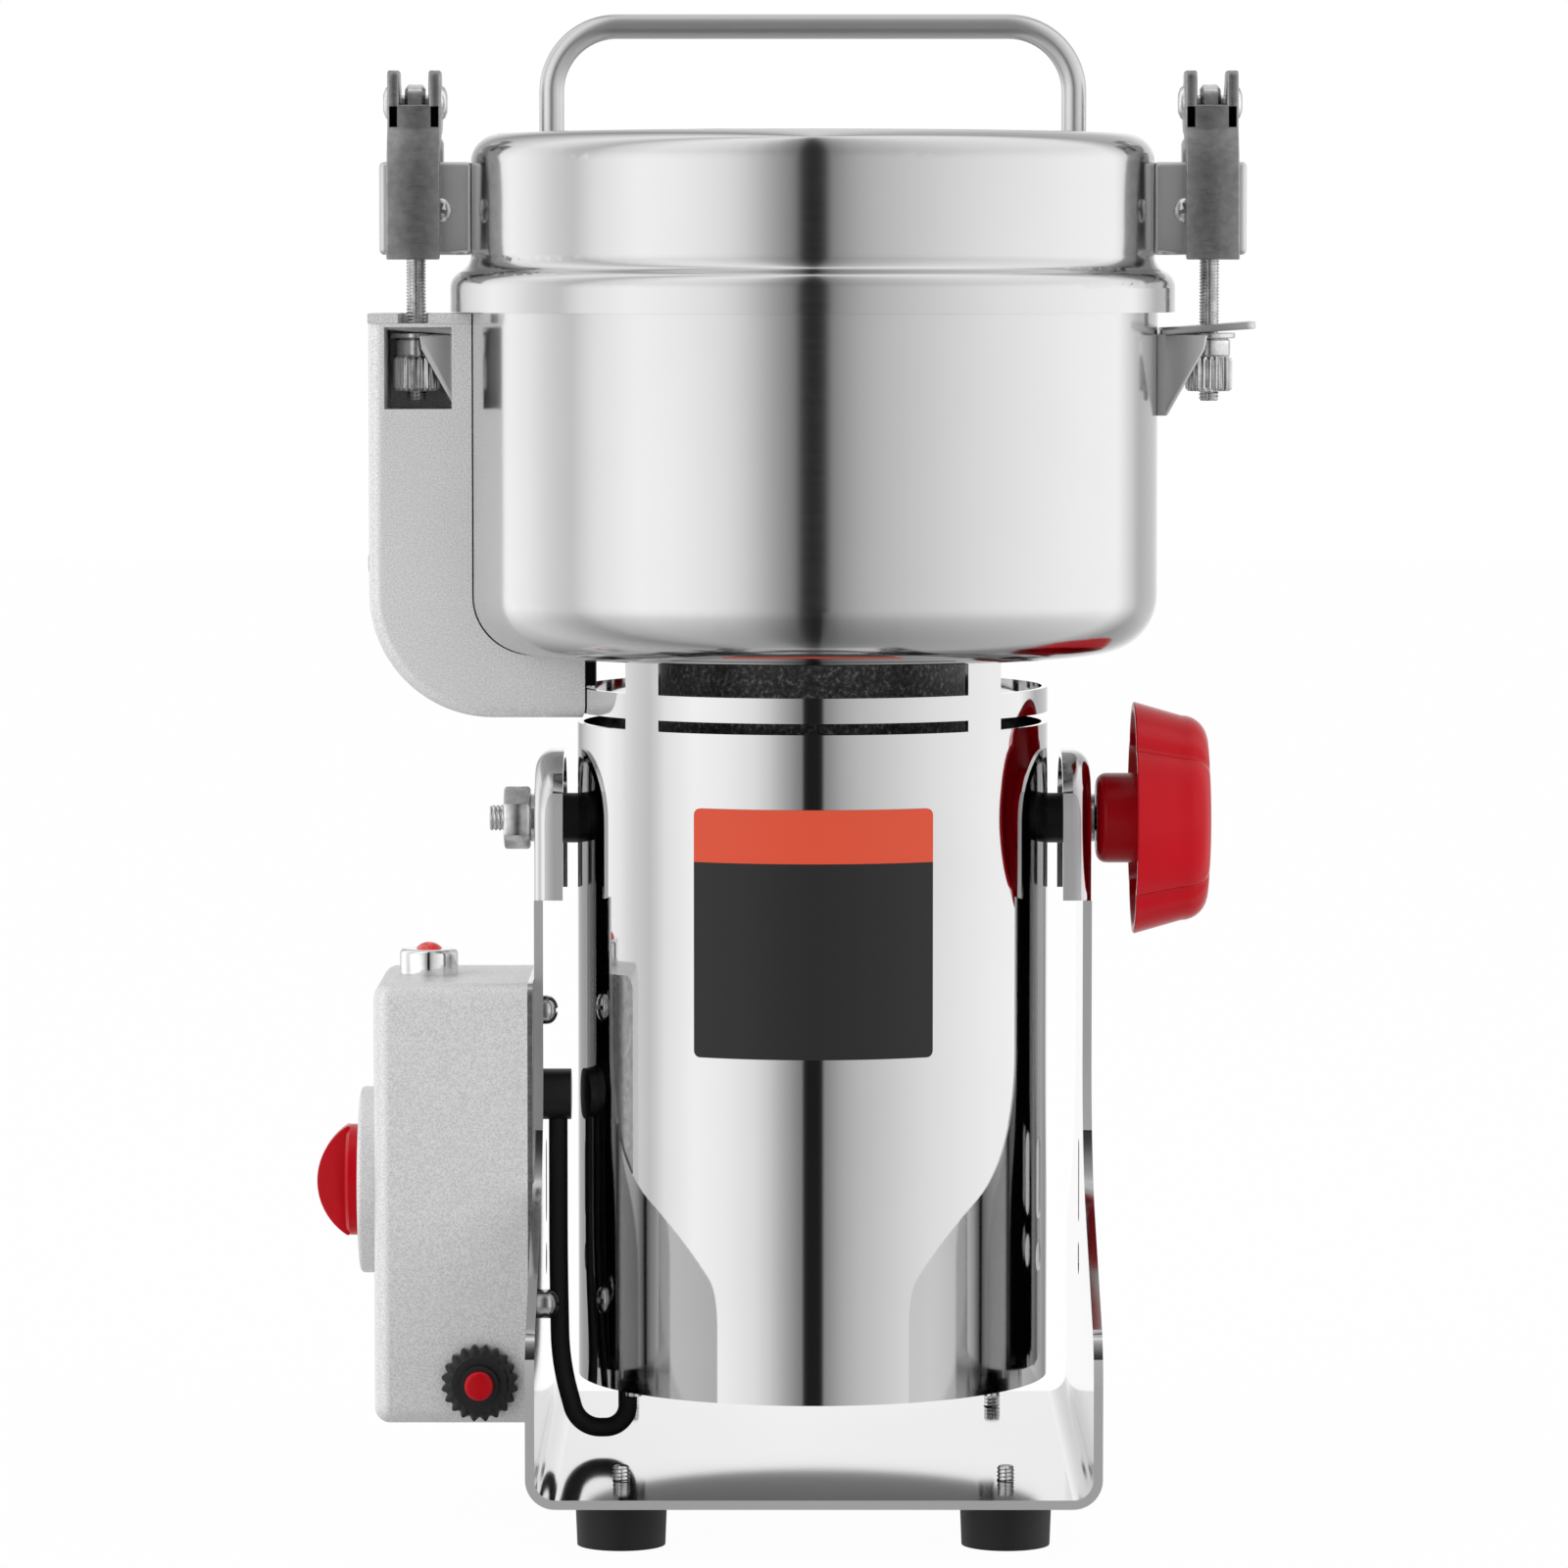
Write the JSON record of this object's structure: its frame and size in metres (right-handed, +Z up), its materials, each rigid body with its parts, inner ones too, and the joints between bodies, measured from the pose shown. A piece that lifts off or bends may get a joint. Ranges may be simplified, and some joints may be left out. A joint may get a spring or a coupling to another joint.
{
  "type": "electric grain mill",
  "caption": "Tilting electric grain mill: polished motor tube with round lidded chamber held by cam clamps, hung in a steel cradle with a timer control box.",
  "frame": {"origin": "on the floor under the middle of the whole object", "axes": "+Z up, -Y is the front that shows the rating plate, +X to the right, along the tilt axis"},
  "size_m": [0.2287, 0.1797, 0.3644],
  "materials": {
    "polished_steel": "mirror polished stainless steel",
    "grey_paint": "silver grey speckled paint",
    "zinc_steel": "bright plated steel",
    "lever_steel": "dark nickel plated steel",
    "bezel_chrome": "chrome",
    "black_rubber": "matt black rubber",
    "red_plastic": "gloss red moulded plastic",
    "red_lens": "translucent red lens",
    "black_plastic": "matt black moulded plastic",
    "cast_metal": "dark speckled aluminium casting",
    "black_paint": "black paint",
    "copper": "copper",
    "label_film": "printed film, dark grey with an orange band"
  },
  "bodies": {
    "cradle": {"cradle_bracket": "polished_steel", "rubber_feet": "black_rubber", "foot_screws": "zinc_steel", "control_box_shell": "grey_paint", "control_box_back_plate": "zinc_steel", "box_screws": "zinc_steel", "timer_body": "black_plastic", "timer_dial_plate": "grey_paint", "lamp_holder": "black_plastic", "lamp_bezel": "bezel_chrome", "lamp_lens": "red_lens", "breaker_body": "black_plastic", "breaker_collar": "black_plastic", "lead_gland": "black_plastic", "mains_gland": "black_plastic", "motor_lead": "black_rubber"},
    "grinder": {"motor_tube": "polished_steel", "grinding_bowl": "polished_steel", "lid_shell": "polished_steel", "lid_handle": "polished_steel", "bowl_hooks": "polished_steel", "clamp_brackets": "polished_steel", "guard_housing": "grey_paint", "guard_cap": "grey_paint", "tie_rods": "zinc_steel", "pivot_studs": "zinc_steel", "pivot_fasteners": "zinc_steel", "grinder_screws": "zinc_steel", "cam_seats": "zinc_steel", "draw_bolt_left": "zinc_steel", "draw_bolt_right": "zinc_steel", "motor_bearings": "zinc_steel", "stator_core": "zinc_steel", "lid_gasket": "black_rubber", "shaft_seal": "black_rubber", "guard_grommet": "black_rubber", "brush_gear": "black_plastic", "pivot_spacers": "black_plastic", "lid_switch": "black_plastic", "motor_head": "cast_metal", "motor_bottom_bracket": "cast_metal", "motor_bottom_cover": "black_paint", "field_coils": "copper", "rating_plate": "label_film"},
    "rotor": {"rotor_shaft": "zinc_steel", "rotor_core": "zinc_steel", "commutator": "copper", "cooling_fan": "black_plastic", "blades": "polished_steel", "blade_fasteners": "zinc_steel"},
    "lock_knob": {"lock_knob": "red_plastic"},
    "timer_knob": {"timer_knob": "red_plastic", "timer_shaft": "zinc_steel"},
    "breaker_button": {"breaker_button": "red_plastic"},
    "clamp_lever_left": {"clamp_lever_left": "lever_steel", "clamp_pin_left": "zinc_steel"},
    "clamp_nut_left": {"clamp_nut_left": "zinc_steel"},
    "clamp_lever_right": {"clamp_lever_right": "lever_steel", "clamp_pin_right": "zinc_steel"},
    "clamp_nut_right": {"clamp_nut_right": "zinc_steel"}
  },
  "joints": [
    {"name": "tilt", "type": "hinge", "parent": "cradle", "child": "grinder", "pos_m": [0.007, 0, 0.1686], "axis": [1, 0, 0], "range_deg": [0, 90], "deforming": ["motor_lead"]},
    {"name": "rotor_spin", "type": "hinge", "parent": "grinder", "child": "rotor", "pos_m": [0.007, 0, 0.2], "axis": [0, 0, 1], "continuous": true},
    {"name": "lock_knob_turn", "type": "hinge", "parent": "grinder", "child": "lock_knob", "pos_m": [0.09, 0, 0.1686], "axis": [1, 0, 0], "range_deg": [0, 180]},
    {"name": "timer_turn", "type": "hinge", "parent": "cradle", "child": "timer_knob", "pos_m": [-0.11, -0.008, 0.0805], "axis": [-1, 0, 0], "range_deg": [0, 300]},
    {"name": "breaker_press", "type": "slide", "parent": "cradle", "child": "breaker_button", "axis": [0, 1, 0], "range_m": [0, 0.0015], "stiffness_N_per_m": 600},
    {"name": "lever_open_left", "type": "hinge", "parent": "grinder", "child": "clamp_lever_left", "pos_m": [-0.0896, 0, 0.3429], "axis": [-1, 0, 0], "range_deg": [0, 120]},
    {"name": "nut_turn_left", "type": "hinge", "parent": "grinder", "child": "clamp_nut_left", "pos_m": [-0.0896, 0, 0.28], "axis": [0, 0, 1], "continuous": true},
    {"name": "lever_open_right", "type": "hinge", "parent": "grinder", "child": "clamp_lever_right", "pos_m": [0.1036, 0, 0.3429], "axis": [-1, 0, 0], "range_deg": [0, 120]},
    {"name": "nut_turn_right", "type": "hinge", "parent": "grinder", "child": "clamp_nut_right", "pos_m": [0.1036, 0, 0.28], "axis": [0, 0, 1], "continuous": true}
  ]
}
